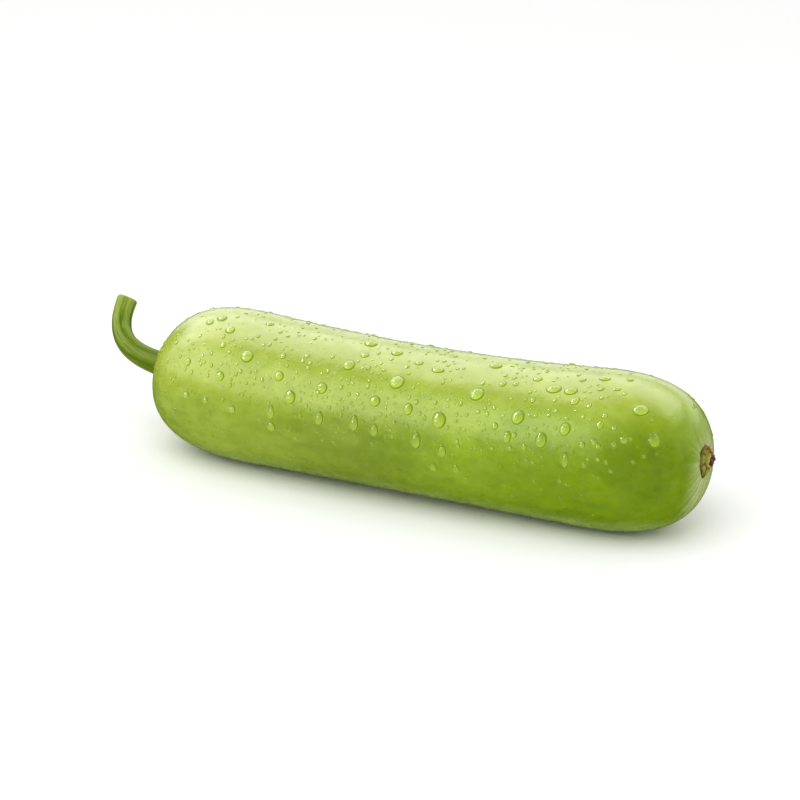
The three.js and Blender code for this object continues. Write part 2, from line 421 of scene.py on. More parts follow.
def skinMaterial():
    material, tree, shader = startMaterial("waxy_skin")
    here = objectPlace(tree)
    along, _, low = parts(tree, here)
    wander = noise(tree, here, skinLook["wanderScale"], 2.0)
    along = remap(tree, along, stemPole[0], blossomPole[0])
    along = plus(tree, along, swing(tree, wander, skinLook["wanderAlong"]))
    shadedLower = addNode(tree, "ShaderNodeValToRGB", {0: along})
    stops = shadedLower.color_ramp.elements
    for share, shade in skinLook["shadedLower"].items():
        stops.new(share).color = shade
    stops.remove(stops[0])
    stops.remove(stops[-1])
    height = plus(tree, low, swing(tree, along, -skinLook["upperTilt"]))
    height = plus(tree, height, swing(tree, wander, skinLook["wanderUp"]))
    levels = ("upperFrom", "upperTo", "ridgeSheenFrom", "ridgeSheenTo")
    upFrom, upTo, ridgeSheenFrom, ridgeSheenTo = (axisMiddle[2] + skinLook[key] * fruit["waistRadius"] for key in levels)
    # painted light and shade: the upper side takes the paler colours and the lower side the darker ones
    upper = mixColour(tree, along, skinLook["bleachedAndLitUpperStemEnd"], skinLook["bleachedAndLitUpperBlossomEnd"])
    colour = mixColour(tree, remap(tree, height, upFrom, upTo), shadedLower.outputs[0], upper)
    # painted sheen along the ridge
    colour = mixColour(tree, remap(tree, low, ridgeSheenFrom, ridgeSheenTo), colour, skinLook["top"])
    atStem = remap(tree, along, skinLook["stemEndShare"], 0.0)
    colour = mixColour(tree, atStem, colour, skinLook["stemEnd"], "MULTIPLY")
    fromDeep = stretched(tree, here, (1, 1, 1), tuple(-skinAt(*skinLook["deepAt"], detail=0.0)))
    deep = remap(tree, lengthOf(tree, fromDeep), skinLook["deepTo"], skinLook["deepFrom"])
    colour = mixColour(tree, deep, colour, skinLook["deep"], "MULTIPLY")
    # painted light: the skin near the floor is made paler
    belly = remap(tree, low, skinLook["bellyTo"], skinLook["bellyFrom"])
    colour = mixColour(tree, belly, colour, skinLook["belly"])

    # cloudy mottles, drawn out along the fruit, then small flecks
    stretch, scale, share = skinLook["paleMottles"]
    cloud = noise(tree, stretched(tree, here, (stretch, 1, 1)), scale, 4.0, 0.6)
    cloud = remap(tree, cloud, 0.44, 0.66, 0, share)
    colour = mixColour(tree, cloud, colour, skinLook["paleMottle"], "MULTIPLY")
    calm = remap(tree, height, upFrom, upTo, 1.0, skinLook["upperCalm"])
    for stretch, scale, share in skinLook["deepMottles"]:
        shade = noise(tree, stretched(tree, here, (stretch, 1, 1), (0.3, 0.1, 0.2)), scale, 5.0, 0.65)
        shade = times(tree, remap(tree, shade, 0.47, 0.66, 0, share), calm)
        colour = mixColour(tree, shade, colour, skinLook["deepMottle"], "MULTIPLY")
    spots = addNode(tree, "ShaderNodeTexVoronoi", {"Vector": here, "Scale": skinLook["fleckScale"]})
    fleck = remap(tree, spots.outputs["Distance"], 0.28, 0.12, 0, skinLook["fleckShare"])
    patchy = remap(tree, noise(tree, here, skinLook["fleckPatches"], 2.0), 0.45, 0.65)
    colour = mixColour(tree, times(tree, fleck, patchy), colour, skinLook["fleck"], "MULTIPLY")

    # paler skin with streaks that fan out round the blossom scar: partly the skin's own pale zone, partly a
    # painted grazing reflection beside and below the scar
    fromScar = stretched(tree, here, (0, 1, 1), tuple(-blossomPole * (0, 1, 1)))
    fan = addNode(tree, "ShaderNodeVectorMath", {0: fromScar}, operation="NORMALIZE").outputs[0]
    streak = noise(tree, fan, skinLook["streakScale"], 3.0, 0.6)
    tall = skinLook["scarSkinTall"]
    offset = (0, -skinLook["scarSkinAside"], skinLook["scarSkinDown"] / tall)
    away = lengthOf(tree, stretched(tree, fromScar, (0, 1, 1 / tall), offset))
    away = plus(tree, away, swing(tree, streak, -skinLook["streakReach"]))
    near = remap(tree, away, skinLook["scarSkinTo"], skinLook["scarSkinFrom"])
    near = times(tree, near, remap(tree, streak, 0.30, 0.62, skinLook["streakLeast"], 1.0))
    near = times(tree, near, remap(tree, along, 0.8, 0.97))
    colour = mixColour(tree, near, colour, skinLook["scarSkinAndSheen"])

    # under a drop the skin has hardly any gloss of its own; the light the drop gathers is painted on it, and
    # a painted shadow darkens the skin just below it
    under, lit, shade = parts(tree, carried(tree, "wet"))
    dim = times(tree, sums(tree, "MAXIMUM", under, shade), skinLook["wetShare"])
    colour = mixColour(tree, dim, colour, skinLook["wetAndShadowTint"], "MULTIPLY")
    colour = mixColour(tree, times(tree, lit, skinLook["litShare"]), colour, skinLook["lit"])
    tree.links.new(colour, shader.inputs["Base Color"])

    rough = remap(tree, noise(tree, here, skinLook["roughScale"], 4.0), 0.3, 0.7, *skinLook["roughness"])
    rough = plus(tree, rough, times(tree, under, skinLook["wetRoughness"]))
    tree.links.new(rough, shader.inputs["Roughness"])
    normal = None
    for scale, detail, roughness, tall, strength in skinLook["relief"]:
        normal = bumped(tree, noise(tree, here, scale, detail, roughness), tall, strength, normal)
    tree.links.new(normal, shader.inputs["Normal"])
    setSockets(shader, skinLook["shader"])
    return material


# Stalk: rings carried along a cubic curve from the stem end, ribbed, with a rounded cut at its tip.
stalk = {
    "leaves": (-25 * mm, 0.0, 3 * mm),  # the curve's handles and end, from the stem end of the fruit
    "bends": (-34.5 * mm, 3.5 * mm, 11 * mm),
    "tip": (-31.5 * mm, 13.5 * mm, 27.5 * mm),
    "baseRadius": 6.4 * mm,
    "neckRadius": 5.1 * mm,
    "neckAt": 0.75,
    "tipRadius": 5.3 * mm,
    "baseFlare": 0.9 * mm,
    "sunk": 1.2 * mm,  # how far the foot goes into the fruit
    "ribs": 5,
    "ribDepth": 0.030,
    "fineRibDepth": 0.012,
    "ribTurn": 0.55,
    "ribsFrom": (0.0, -0.9, 0.45),  # square to this way lies the first point of each ring
    "twist": 0.5,
    "cut": (  # share of the radius and mm past the tip, from the edge of the cut to its middle
        (0.975, 0.45), (0.93, 0.85), (0.86, 1.15), (0.76, 1.38), (0.64, 1.48),
        (0.5, 1.50), (0.34, 1.45), (0.17, 1.4), (0.0, 1.4),
    ),
    "rings": 120,
    "ringPoints": 100,
}
stalkLook = {
    "flesh": (0.200, 0.285, 0.028, 1),
    # ridge and groove follow the ribs: partly the stalk's own stripes, partly painted shade darkening the
    # grooves
    "ridge": (0.265, 0.345, 0.065, 1),
    "groove": (0.095, 0.155, 0.005, 1),
    "paleLine": (0.400, 0.480, 0.170, 1),
    "darkLine": (0.055, 0.100, 0.003, 1),
    "foot": (0.095, 0.150, 0.003, 1),
    "cut": (0.310, 0.390, 0.055, 1),
    "cutMiddle": (0.20, 0.20, 0.045, 1),
    "fibres": (3.2, 3.2, 9.0),  # how the streaks are drawn out
    "threads": (2.6, 2.6, 6.0),
    "roughness": (0.47, 0.67),
    "shader": {"Specular IOR Level": 0.05},
}


def stalkMaterial():
    material, tree, shader = startMaterial("ribbed_stalk")
    ridge, reach, inward = parts(tree, carried(tree, "lay"))
    fibre = carried(tree, "fibre")
    lines = noise(tree, stretched(tree, fibre, stalkLook["fibres"]), 2.0, 4.0, 0.6)
    threads = noise(tree, stretched(tree, fibre, stalkLook["threads"]), 2.0, 4.0, 0.65)
    wander = plus(tree, ridge, swing(tree, lines, 1.6))
    layers = (  # where a colour starts and is full, and its share
        (wander, 0.1, 1.0, 1.0, "ridge"),
        # painted shade in part: darker where the ribs dip
        (wander, -0.1, -0.9, 1.0, "groove"),
        (threads, 0.54, 0.70, 0.6, "paleLine"),
        (threads, 0.48, 0.32, 0.8, "darkLine"),
        (reach, 0.95, 0.0, 0.6, "foot"),
        (reach, 0.75, 1.0, 0.35, "cut"),
    )
    colour = stalkLook["flesh"]
    for value, start, full, share, name in layers:
        colour = mixColour(tree, remap(tree, value, start, full, 0, share), colour, stalkLook[name])
    face = mixColour(tree, remap(tree, inward, 0.55, 0.9), stalkLook["cut"], stalkLook["cutMiddle"])
    colour = mixColour(tree, remap(tree, inward, 0.02, 0.2), colour, face)
    tree.links.new(colour, shader.inputs["Base Color"])
    rough = remap(tree, noise(tree, fibre, 9.0, 3.0), 0.3, 0.7, *stalkLook["roughness"])
    tree.links.new(rough, shader.inputs["Roughness"])
    tree.links.new(bumped(tree, lines, 0.35 * mm, 0.5), shader.inputs["Normal"])
    setSockets(shader, stalkLook["shader"])
    return material


# the curve's points and directions at each share of its run
def stalkPath(share):
    handles = np.array([(0, 0, 0), stalk["leaves"], stalk["bends"], stalk["tip"]]) + stemPole
    t = share[:, None]
    line = (1 - t) ** 3 * handles[0] + 3 * t * (1 - t) ** 2 * handles[1]
    line = line + 3 * t * t * (1 - t) * handles[2] + t**3 * handles[3]
    steps = np.diff(handles, axis=0)
    way = (1 - t) ** 2 * steps[0] + 2 * t * (1 - t) * steps[1] + t * t * steps[2]
    return line, unit(way)


# thick at the root, thin at the neck, a little wider at the cut
def stalkRadius(share):
    taper = np.clip(1 - share / stalk["neckAt"], 0, 1) ** 1.5
    flare = np.clip((share - stalk["neckAt"]) / (1 - stalk["neckAt"]), 0, 1) ** 2
    radius = stalk["neckRadius"] + (stalk["baseRadius"] - stalk["neckRadius"]) * taper
    radius = radius + (stalk["tipRadius"] - stalk["neckRadius"]) * flare
    return radius + stalk["baseFlare"] * np.exp(-share / 0.03)


def addStalk():
    # each ring has a share along the curve, a share of its radius and a step past its place on the curve
    body = np.linspace(0, 1, stalk["rings"])
    cutSize, cutStep = np.array(stalk["cut"]).T
    share = np.concatenate([[0, 0], body, np.ones(len(cutSize))])
    size = np.concatenate([[0, 1], np.ones(len(body)), cutSize])
    step = np.concatenate([[-stalk["sunk"]] * 2, np.zeros(len(body)), cutStep * mm])
    line, way = stalkPath(share)
    line = line + way * step[:, None]
    across = unit(np.cross(way, stalk["ribsFrom"]))
    aside = np.cross(way, across)
    turn = turnsRound(stalk["ringPoints"])
    phase = stalk["ribs"] * (turn[None] + stalk["twist"] * share[:, None]) + stalk["ribTurn"]
    rib = np.cos(phase) + 0.25 * np.cos(2 * turn[None] + 5 * share[:, None])
    ribbed = 1 + stalk["ribDepth"] * rib + stalk["fineRibDepth"] * np.cos(3 * phase + 1.0)
    radius = stalkRadius(share)[:, None] * size[:, None] * ribbed
    spoke = across[:, None] * np.cos(turn)[None, :, None] + aside[:, None] * np.sin(turn)[None, :, None]
    points = line[:, None] + spoke * radius[..., None]
    wide = np.broadcast_to(share[:, None], rib.shape)
    inward = np.broadcast_to((1 - size)[:, None] * (share[:, None] == 1), rib.shape)
    around = np.broadcast_arrays(np.cos(turn)[None], np.sin(turn)[None], wide * 0.3)
    attributes = {"lay": np.stack([rib, wide, inward], -1), "fibre": np.stack(around, -1)}
    piece = addForms("stalk", points[None], [stalkMaterial()], None, attributes)
    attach(piece, "root")
    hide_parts("stem")


addStalk()


# Blossom scar: an angular pad, creased to its corners, with a crusted ridge and a torn lip round a crater.
scar = {
    # degrees from +Y towards the top, and mm from the middle
    "corners": ((6, 8.0), (88, 8.9), (126, 9.2), (178, 7.7), (233, 8.3), (318, 7.4)),
    "edgeHeight": 0.3 * mm,
    "footHeight": 1.2 * mm,  # of the pad where the lip rises from it
    "lipRadius": 3.2 * mm,
    "lipHeight": 2.3 * mm,
    "lipWidth": 0.08,  # share of the way from lip to edge
    "craterDepth": 1.2 * mm,
    "craterAside": 2.0 * mm,
    "craterUp": 0.4 * mm,
    "crustTurn": math.radians(52),
    "crustHalf": math.radians(70),
    "crustHeight": 1.6 * mm,
    "crustFrom": 0.48,  # share of the way from lip to edge
    "crustFull": 0.70,
    "tanTo": (0.25, 0.6),  # turns past the crust's middle between which tan gives way to brown
    "creaseDepth": 0.35 * mm,
    "creaseWidth": 0.9 * mm,
    "grooveAt": 0.20,  # share of the way from lip to edge
    "grooveWidth": 0.11,
    "sunk": 0.9 * mm,
    "craterRings": 12,
    "padRings": 36,
    "ringPoints": 120,
}
scarLook = {
    "pad": (0.230, 0.215, 0.018, 1),
    "padPale": (0.330, 0.315, 0.045, 1),
    # painted shade round the pad's rim, where it dips into the skin
    "edge": (0.055, 0.056, 0.003, 1),
    # painted shade in the creases and in the groove round the lip
    "groove": (0.085, 0.060, 0.005, 1),
    "lip": (0.480, 0.350, 0.140, 1),
    "crust": (0.560, 0.370, 0.150, 1),
    "crustDark": (0.160, 0.066, 0.016, 1),
    "crater": (0.045, 0.016, 0.006, 1),
    "grainScale": 700.0,
    "patchScale": 260.0,
    "roughness": (0.60, 0.85),
    "shader": {"Specular IOR Level": 0.2},
}
# the blossom end's own directions: out of the fruit, sideways and up
outWay = unit(np.array([1.0, 0.0, -fruit["blossomEndLean"]]))
sideWay = np.array([0.0, 1.0, 0.0])
riseWay = np.cross(outWay, sideWay)
scarMiddle = scar["craterAside"] * sideWay + scar["craterUp"] * riseWay


# How far the pad reaches at each turn, and how near the turn is to a corner: straight lines between corners
# in polar form, r1 r2 sin(whole angle) / (r1 sin(angle past the first) + r2 sin(angle before the next)),
# with each point then drawn a little towards its neighbours.
def scarOutline(turn):
    corner, far = np.array(scar["corners"], float).T
    corner = np.radians(np.concatenate([[corner[-1] - 360], corner, [corner[0] + 360]]))
    far = np.concatenate([far[-1:], far, far[:1]]) * mm
    before = np.searchsorted(corner, turn, side="right") - 1
    first, last = far[before], far[before + 1]
    across = first * np.sin(turn - corner[before]) + last * np.sin(corner[before + 1] - turn)
    straight = first * last * np.sin(corner[before + 1] - corner[before]) / across
    softened = (np.roll(straight, 1) + 2 * straight + np.roll(straight, -1)) / 4
    return softened, np.abs(turn[:, None] - corner[None]).min(1)


def scarMaterial():
    material, tree, shader = startMaterial("scar_tissue")
    here = objectPlace(tree)
    out, crease, torn = parts(tree, carried(tree, "lay"))
    crust, groove, hollow = parts(tree, carried(tree, "rim"))
    grain = noise(tree, here, scarLook["grainScale"], 4.0, 0.65)
    colour = mixColour(tree, remap(tree, grain, 0.42, 0.65), scarLook["pad"], scarLook["padPale"])
    loose = plus(tree, out, swing(tree, grain, 0.25))
    patchy = remap(tree, noise(tree, here, scarLook["patchScale"], 2.0), 0.35, 0.6, 0.35, 1.0)
    # painted shade: the pad darkens towards its rim
    rimShade = times(tree, remap(tree, loose, 0.64, 0.92), patchy)
    colour = mixColour(tree, rimShade, colour, scarLook["edge"])
    # painted shade: darker along the creases and in the groove round the lip
    colour = mixColour(tree, remap(tree, crease, 0.15, 0.9, 0, 0.7), colour, scarLook["groove"])
    colour = mixColour(tree, remap(tree, groove, 0.3, 0.9, 0, 0.9), colour, scarLook["groove"])
    tan = times(tree, remap(tree, crust, 0.95, 1.25), remap(tree, grain, 0.30, 0.48, 0.4, 1.0))
    flaky = mixColour(tree, tan, scarLook["crustDark"], scarLook["crust"])
    colour = mixColour(tree, remap(tree, crust, 0.3, 0.7), colour, flaky)
    colour = mixColour(tree, remap(tree, torn, 0.35, 0.75), colour, scarLook["lip"])
    colour = mixColour(tree, hollow, colour, scarLook["crater"])
    tree.links.new(colour, shader.inputs["Base Color"])
    tree.links.new(remap(tree, grain, 0.3, 0.7, *scarLook["roughness"]), shader.inputs["Roughness"])
    tree.links.new(bumped(tree, grain, 0.3 * mm, 0.6), shader.inputs["Normal"])
    setSockets(shader, scarLook["shader"])
    return material


# Rings run from under the edge, up over it and in to the crater's middle. out is 1 at the edge, 0 at the
# lip and -1 in the middle: between edge and lip a point moves straight from the outline to the lip's circle.
def addScar():
    turn = turnsRound(scar["ringPoints"])
    outline, off = scarOutline(turn)
    pad = np.linspace(1, 0, scar["padRings"])
    out = np.concatenate([pad, np.linspace(0, -1, scar["craterRings"])[1:]])[:, None]
    slope, inside = np.clip(out, 0, 1), np.clip(1 + out, 0, 1)
    spoke = np.cos(turn)[:, None] * sideWay + np.sin(turn)[:, None] * riseWay
    reach = (1 - slope) * scar["lipRadius"] * inside + slope * outline
    wobble = 1 + 0.12 * np.sin(3 * turn + 0.7) + 0.08 * np.sin(7 * turn)
    torn = np.exp(-((out / scar["lipWidth"]) ** 2)) * (0.8 + 0.2 * np.sin(5 * turn + 2))
    hollow = 1 - eased(out, -0.35, 0.0) + 0 * turn
    past = (turn - scar["crustTurn"] + math.pi) % (2 * math.pi) - math.pi
    window = 1 - eased(np.abs(past), 0.6 * scar["crustHalf"], scar["crustHalf"])
    crust = eased(out, scar["crustFrom"], scar["crustFull"]) * window
    ridge = crust * (1 - 0.7 * eased(out, 0.88, 1.0)) * (0.85 + 0.15 * np.sin(11 * turn))
    crust = crust * (2 - eased(past, *scar["tanTo"]))  # 1 where brown, 2 where tan
    groove = np.exp(-(((out - scar["grooveAt"]) / scar["grooveWidth"]) ** 2))
    groove = groove * (0.7 + 0.3 * np.sin(2 * turn + 0.5))
    crease = np.exp(-((off * reach / scar["creaseWidth"]) ** 2)) * eased(out, 0.15, 0.3) * (1 - window)
    height = scar["edgeHeight"] + (scar["footHeight"] - scar["edgeHeight"]) * (1 - slope)
    lip = np.exp(-((slope / scar["lipWidth"]) ** 2))
    height = height + (scar["lipHeight"] * wobble - scar["footHeight"]) * lip
    height = height + scar["crustHeight"] * ridge - scar["creaseDepth"] * (crease + groove)
    height = height - scar["craterDepth"] * hollow
    flat = reach[..., None] * spoke + (1 - slope)[..., None] * scarMiddle
    under = np.stack([np.zeros_like(flat[0]), 0.985 * flat[0]]) - scar["sunk"] * outWay
    points = blossomPole + np.concatenate([under, flat + height[..., None] * outWay])
    first = np.zeros((2, scar["ringPoints"], 3))
    lay = np.stack(np.broadcast_arrays(out, crease, torn * (1 - hollow)), -1)
    rim = np.stack([crust, groove, hollow], -1)
    attributes = {"lay": np.concatenate([first + (1, 0, 0), lay]), "rim": np.concatenate([first, rim])}
    piece = addForms("scar_pad", points[None], [scarMaterial()], None, attributes)
    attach(piece, "root")
    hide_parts("blossom_scar")


addScar()


# Dried style: a short ridged stub with a broken top, standing in the crater.
style = {
    "radius": 2.5 * mm,
    "tipRadius": 2.1 * mm,
    "foot": 1.0 * mm,
    "length": 2.1 * mm,
    "ridges": 7,
    "ridgeDepth": 0.10,
    "breakDepth": 0.7 * mm,
    "topDip": 0.35 * mm,
    "wallRings": 18,
    "topRings": 6,
    "ringPoints": 64,
}
styleLook = {
    "bark": (0.070, 0.022, 0.007, 1),
    "barkPale": (0.190, 0.085, 0.035, 1),
    "grainScale": 1600.0,
    "roughness": (0.65, 0.9),
}


def styleMaterial():
    material, tree, shader = startMaterial("dry_style")
    grain = noise(tree, stretched(tree, objectPlace(tree), (0.4, 1, 1)), styleLook["grainScale"], 4.0, 0.65)
    colour = mixColour(tree, remap(tree, grain, 0.42, 0.68), styleLook["bark"], styleLook["barkPale"])
    tree.links.new(colour, shader.inputs["Base Color"])
    tree.links.new(remap(tree, grain, 0.3, 0.7, *styleLook["roughness"]), shader.inputs["Roughness"])
    tree.links.new(bumped(tree, grain, 0.3 * mm, 0.7), shader.inputs["Normal"])
    return material


# up is 0 at the foot and 1 at the top, size 1 on the wall and 0 in the middle of the top
def addStyle():
    turn = turnsRound(style["ringPoints"])
    wall = np.linspace(0, 1, style["wallRings"])
    top = np.linspace(0.93, 0, style["topRings"])
    size = np.concatenate([[0, 1], np.ones(len(wall)), top])
    up = np.concatenate([[-0.2, -0.2], wall, np.ones(len(top))])
    climb = np.clip(up, 0, 1)
    ridge = np.cos(style["ridges"] * turn + 0.4) + 0.5 * np.cos(3 * turn + 1.0)
    taper = style["radius"] + (style["tipRadius"] - style["radius"]) * climb**0.7
    reach = (taper * size)[:, None] * (1 + style["ridgeDepth"] * ridge[None])
    broken = style["breakDepth"] * (np.sin(2 * turn + 0.6) + 0.6 * np.sin(5 * turn + 1.1))[None] / 2
    height = style["foot"] + style["length"] * up[:, None] + broken * climb[:, None] ** 3 * size[:, None]
    height = height - style["topDip"] * (1 - size)[:, None] * (up == 1)[:, None]
    spoke = np.cos(turn)[:, None] * sideWay + np.sin(turn)[:, None] * riseWay
    points = blossomPole + scarMiddle + reach[..., None] * spoke + height[..., None] * outWay
    piece = addForms("style_stub", points[None], [styleMaterial()])
    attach(piece, "root")
    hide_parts("dried_style")


addStyle()


# Water on the skin. Seen drops are placed by where they show in the photograph: pixels across and down,
# then the width and length of the bright middle in mm. Seen droplets have only a width.
seenDrops = [
    (247, 356, 6.4, 6.4), (279, 376, 4.6, 4.6), (186, 394, 3.4, 3.4), (205, 400, 3.0, 3.4),
    (271, 412, 4.0, 6.8), (271, 426, 4.4, 4.6), (222, 318, 5.6, 5.0), (210, 322, 4.4, 4.0),
    (230, 330, 5.0, 4.6), (270, 324, 4.0, 3.6), (290, 397, 5.4, 6.4), (322, 388, 5.0, 5.4),
    (349, 365, 5.6, 6.0), (397, 382, 7.0, 7.0), (477, 394, 6.4, 6.8), (375, 401, 5.0, 5.0),
    (408, 409, 4.4, 5.6), (439, 420, 6.4, 7.4), (319, 418, 4.4, 6.6), (354, 423, 4.6, 7.6),
    (374, 430, 4.2, 6.2), (416, 440, 5.0, 8.0), (442, 451, 4.2, 5.8), (371, 344, 6.0, 5.4),
    (397, 353, 5.4, 4.6), (438, 370, 5.8, 3.8), (518, 417, 5.8, 7.0), (565, 429, 5.0, 6.2),
    (541, 440, 5.4, 7.2), (641, 410, 6.6, 6.4), (654, 440, 5.4, 7.0), (575, 401, 4.0, 4.6),
    (507, 437, 3.8, 5.8), (565, 460, 3.8, 7.4), (496, 366, 5.8, 4.8), (554, 389, 6.6, 5.2),
    (571, 391, 5.8, 4.8), (605, 379, 4.6, 3.6), (232, 409, 3.4, 3.6), (220, 376, 4.4, 4.4),
    (188, 362, 3.4, 4.0), (600, 425, 3.2, 4.2), (624, 440, 3.4, 3.6), (433, 467, 4.0, 4.4),
    (456, 469, 3.4, 4.2), (538, 379, 4.2, 3.4), (617, 389, 3.4, 3.0), (365, 355, 4.0, 3.6),
    (419, 363, 4.0, 3.4),
]
seenDroplets = [
    (223, 345, 3.0), (283, 356, 3.0), (307, 356, 2.6), (303, 361, 2.2), (310, 363, 2.4), (308, 368, 2.0),
    (514, 435, 2.6), (495, 426, 2.8), (594, 442, 3.0), (598, 446, 2.6), (614, 444, 2.8), (503, 384, 3.0),
    (516, 384, 2.6), (583, 380, 2.8), (601, 389, 2.8), (625, 394, 2.0), (630, 380, 2.8), (533, 400, 2.6),
    (524, 447, 2.6), (583, 417, 2.2), (614, 428, 2.4), (582, 445, 2.8), (589, 406, 2.4), (605, 416, 2.6),
    (256, 372, 1.8), (262, 380, 2.0), (318, 392, 2.2), (215, 307, 2.6), (238, 307, 2.6), (377, 334, 3.0),
    (437, 345, 3.0), (578, 362, 3.2), (416, 402, 2.4), (394, 423, 2.2), (390, 430, 1.8), (457, 441, 2.0),
    (485, 408, 2.0), (487, 414, 2.0), (510, 448, 2.2), (458, 446, 2.0), (549, 415, 1.8), (556, 411, 2.0),
    (492, 448, 1.8), (481, 449, 1.8), (598, 459, 2.0), (606, 462, 1.8), (584, 465, 2.0), (560, 481, 2.2),
    (566, 484, 1.8), (534, 481, 1.8), (540, 488, 1.6), (644, 456, 1.8), (633, 462, 1.6), (526, 459, 1.8),
    (532, 462, 1.6), (611, 471, 1.8), (630, 438, 1.8), (306, 406, 2.0), (309, 410, 1.8), (323, 440, 1.8),
    (334, 443, 1.8), (296, 438, 1.8), (392, 437, 1.8), (371, 443, 1.6), (466, 478, 1.8), (259, 419, 1.8),
]
water = {
    "seed": 31,
    "wholeWidth": 1.18,  # a whole drop's size in those of its bright middle
    "wholeLength": 1.12,
    "dropletLength": 1.1,  # in widths
    "unseenDrops": 55,  # drops as large as the seen ones, where the photograph doesn't look
    "unseenDroplets": 150,
    "spray": 1500,
    "dropWidth": (4.0, 8.4),  # mm
    "dropletWidth": (2.1, 4.0),
    "sprayWidth": (0.9, 2.7),
    "sprayPower": 1.8,  # more of the spray is fine than coarse
    "dropStretch": (1.0, 1.35),  # length in widths
    "dropletStretch": (0.9, 1.3),
    "clumped": 0.6,  # share of the spray that lies in clumps
    "clumpSize": 5 * mm,
    "clumpPlaces": 60,  # places tried for each clump
    "ends": (0.012, 0.988),  # shares along the fruit between which drops stand
    "tries": 12,  # places tried for each one that is wanted
    "flank": (-0.15, 0.4),  # upward part of the skin's normal over which drops grow common
    "underside": 0.06,  # share of the flank's drops that is left below it
    "ridge": (0.5, 0.9),  # upward part over which they grow fewer again
    "ridgeFewer": 0.8,
    "blossomEnd": (0.78, 0.93),  # shares along the fruit over which they grow fewer
    "blossomFewer": 0.9,
    "stemEnd": (0.10, 0.30),  # shares along the fruit over which they grow common
    "stemLeast": 0.3,
    "hiddenFacing": -0.22,  # cosine to the camera, far enough round not to stand on the outline
    "height": 0.52,  # share of half the width
    "sag": 0.55,  # how far a drop on a steep side leans downhill
    "sunk": 0.12 * mm,
    "pearMost": 0.8,  # a drop narrows most when it is longer than wide by this share
    "pearNarrow": 0.5,
    "wetEdge": (0.75, 1.1),  # out from a drop's middle, in half widths and half lengths
    "litDownhill": (-0.7, 0.7),  # the same, from where its light starts to where it is full
    "shadeAt": 1.15,
    "shadeWidth": 0.35,
    "shadeDownhill": (0.1, 0.9),
    "clear": (1, 1, 1, 1),
    "clearGloss": 0.5,
    "edge": (0.235, 0.345, 0.008, 1),  # painted shade: a drop's edge is tinted dark green, standing in for the dark rim that refraction gives
    "finePaintedDarkEdge": (0.31, 0.43, 0.025, 1),
    "edgeClear": 0.5,
    "edgeGloss": 0.15,
    "clearance": 1.15,  # drops keep this many radii apart
    "lowest": 14 * mm,  # none nearer to the floor
    "forms": {  # where the painted dark edge ends, 0 at the drop's top, then rings and points in a ring
        "large_drops": (0.60, 16, 36),
        "small_drops": (0.54, 8, 12),
        "fine_spray": (0.46, 6, 8),
    },
    "shader": {"Roughness": 0.03, "IOR": 1.333},
}
smallStep = 1e-4  # of share and turn, for slopes
newtonSteps = 5
longestStep = (0.01, 0.05)  # of share and turn


def waterMaterial(name, colour, clearness, gloss):
    material, _, shader = startMaterial(name)
    setSockets(shader, water["shader"])
    setSockets(shader, {"Base Color": colour, "Transmission Weight": clearness, "Specular IOR Level": gloss})
    return material


def addSkin(points, wet):
    side = points[:, fruit["ringPoints"] // 4]
    walked = np.concatenate([[0], np.cumsum(np.linalg.norm(np.diff(side, axis=0), axis=1))])
    skin = addForms("gourd_skin", points[None], [skinMaterial()], walked / walked[-1], {"wet": wet})
    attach(skin, "root")
    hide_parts("fruit")


# the skin's two directions and outward normal at places given by share and turn, by small differences
def skinFrame(share, turn):
    alongWay = (skinAt(share + smallStep, turn) - skinAt(share - smallStep, turn)) / (2 * smallStep)
    roundWay = (skinAt(share, turn + smallStep) - skinAt(share, turn - smallStep)) / (2 * smallStep)
    return alongWay, roundWay, unit(np.cross(roundWay, alongWay))


# the place on the skin that shows at each pixel: the nearest facing grid point, then Newton steps on share
# and turn
def skinAtPixels(pixels):
    share, turn = np.broadcast_arrays(ringShare[2:-2:2, None], ringTurn[None, ::2])
    share, turn = share.ravel(), turn.ravel()
    points = skinAt(share, turn)
    facing = np.einsum("ij,ij->i", skinFrame(share, turn)[2], eye - points) > 0
    share, turn = share[facing], turn[facing]
    shown = pixelOf(points[facing])
    nearest = ((shown[None] - pixels[:, None]) ** 2).sum(-1).argmin(1)
    share, turn = share[nearest], turn[nearest]
    for _ in range(newtonSteps):
        now = pixelOf(skinAt(share, turn))
        byShare = (pixelOf(skinAt(share + smallStep, turn)) - now) / smallStep
        byTurn = (pixelOf(skinAt(share, turn + smallStep)) - now) / smallStep
        miss = pixels - now
        size = byShare[:, 0] * byTurn[:, 1] - byShare[:, 1] * byTurn[:, 0]
        moveShare = (miss[:, 0] * byTurn[:, 1] - miss[:, 1] * byTurn[:, 0]) / size
        moveTurn = (byShare[:, 0] * miss[:, 1] - byShare[:, 1] * miss[:, 0]) / size
        mostShare, mostTurn = longestStep
        share = np.clip(share + np.clip(moveShare, -mostShare, mostShare), 0.004, 0.996)
        turn = turn + np.clip(moveTurn, -mostTurn, mostTurn)
    return share, turn


